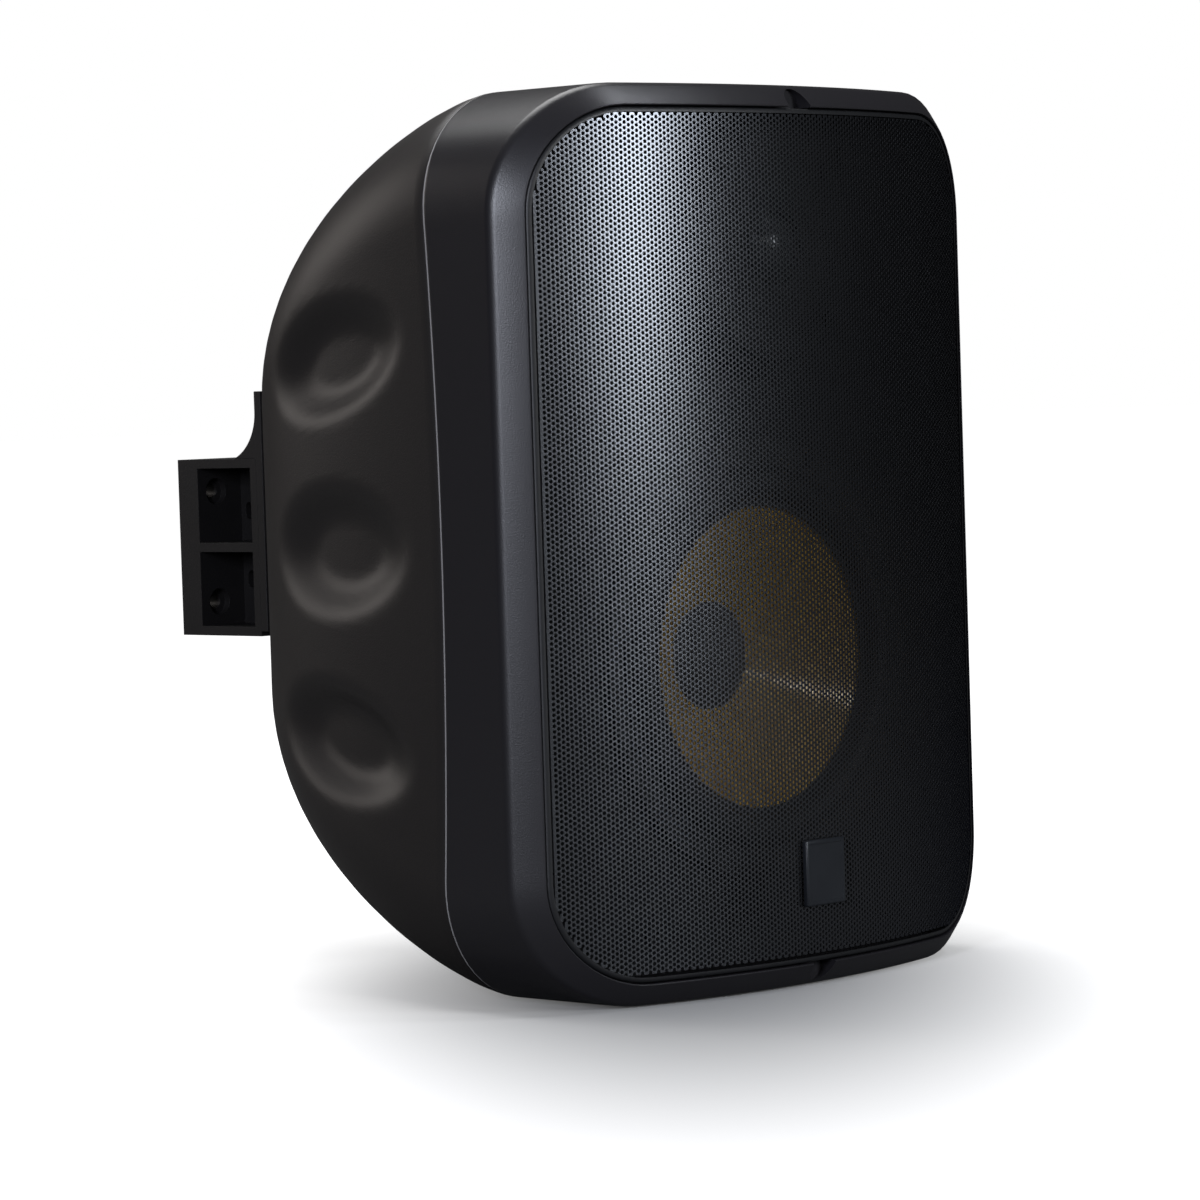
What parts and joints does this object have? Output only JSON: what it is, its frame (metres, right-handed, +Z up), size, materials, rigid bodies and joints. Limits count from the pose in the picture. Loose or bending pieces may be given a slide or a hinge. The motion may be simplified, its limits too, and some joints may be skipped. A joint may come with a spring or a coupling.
{
  "type": "network speaker",
  "caption": "Surface-mount network speaker: rounded moulded cabinet with a bowed perforated grille, two-way drivers and a network amplifier, on a pan and tilt wall bracket.",
  "frame": {"origin": "centre of the wall bracket's back face, on the wall", "axes": "+Y into the wall, so the speaker faces -Y; +Z up; +X to the right of someone who looks at the front"},
  "size_m": [0.262, 0.3185, 0.34],
  "materials": {
    "cabinet_plastic": "fine matt texture",
    "bezel_plastic": "satin",
    "grille_steel": "satin powder coat",
    "badge": "semi-gloss",
    "bracket_metal": "powder coat",
    "basket_steel": "powder coat",
    "steel": "machined",
    "zinc_screw": "zinc plated",
    "black_screw": "blackened",
    "brass": "machined",
    "rubber": "matt",
    "cone_weave": "woven, lacquered",
    "spider_cloth": "corrugated",
    "cap_felt": "matt",
    "dome": "satin",
    "former": "film",
    "copper": "enamelled wire",
    "ferrite": "sintered",
    "driver_plastic": "satin",
    "board_green": "solder mask",
    "heatsink": "black anodised",
    "tape_yellow": "tape",
    "capacitor": "sleeve",
    "chip": "matt",
    "socket_metal": "tinned",
    "terminal_green": "moulded",
    "light_pipe": "clear",
    "button_red": "moulded",
    "wire_red": "sleeving",
    "wire_blue": "sleeving"
  },
  "bodies": {
    "wall": {"wall_bracket": "bracket_metal", "hook_plate": "bracket_metal", "latch_screw": "zinc_screw", "pan_pin": "steel", "pan_pin_clips": "zinc_screw"},
    "neck": {"swivel_neck": "bracket_metal"},
    "cabinet": {"mount_plate": "bracket_metal", "mount_screws": "zinc_screw", "mount_inserts": "brass", "tilt_bolt": "zinc_screw", "tilt_washers": "zinc_screw", "tilt_nut": "zinc_screw", "rear_cabinet": "cabinet_plastic", "cabinet_gasket": "rubber", "front_frame": "bezel_plastic", "frame_screws": "black_screw", "grille": "grille_steel", "badge_plate": "badge", "woofer_basket": "basket_steel", "woofer_gasket": "rubber", "woofer_top_plate": "steel", "woofer_magnet": "ferrite", "woofer_yoke": "steel", "woofer_surround": "rubber", "woofer_spider": "spider_cloth", "woofer_terminals": "brass", "woofer_screws": "black_screw", "tweeter_faceplate": "driver_plastic", "tweeter_surround": "rubber", "tweeter_top_plate": "steel", "tweeter_magnet": "ferrite", "tweeter_yoke": "steel", "tweeter_terminals": "brass", "tweeter_screws": "black_screw", "circuit_board": "board_green", "board_screws": "zinc_screw", "heatsink": "heatsink", "isolation_transformer": "tape_yellow", "storage_capacitors": "capacitor", "filter_coils": "copper", "network_chip": "chip", "network_jack": "socket_metal", "terminal_block": "terminal_green", "terminal_screws": "zinc_screw", "status_light": "light_pipe", "connector_panel": "cabinet_plastic", "panel_gasket": "rubber", "panel_screws": "black_screw", "woofer_leads": "wire_red", "tweeter_leads": "wire_blue"},
    "cone": {"woofer_cone": "cone_weave", "dust_cap": "cap_felt", "coil_former": "former", "voice_coil": "copper"},
    "dome": {"tweeter_dome": "dome", "tweeter_coil": "copper"},
    "reset": {"reset_button": "button_red"}
  },
  "joints": [
    {"name": "pan", "type": "hinge", "parent": "wall", "child": "neck", "pos_m": [0, -0.0615, 0], "axis": [0, 0, 1], "range_deg": [-35, 35]},
    {"name": "tilt", "type": "hinge", "parent": "neck", "child": "cabinet", "pos_m": [0, -0.083, 0], "axis": [1, 0, 0], "range_deg": [-15, 20]},
    {"name": "cone_travel", "type": "slide", "parent": "cabinet", "child": "cone", "axis": [0, -1, 0], "range_m": [-0.004, 0.004], "stiffness_N_per_m": 1500, "deforming": ["woofer_surround", "woofer_spider"]},
    {"name": "dome_travel", "type": "slide", "parent": "cabinet", "child": "dome", "axis": [0, -1, 0], "range_m": [-0.0003, 0.0003], "stiffness_N_per_m": 1500, "deforming": ["tweeter_surround"]},
    {"name": "reset_press", "type": "slide", "parent": "cabinet", "child": "reset", "axis": [0, -1, 0], "range_m": [0, 0.001], "stiffness_N_per_m": 1500}
  ]
}
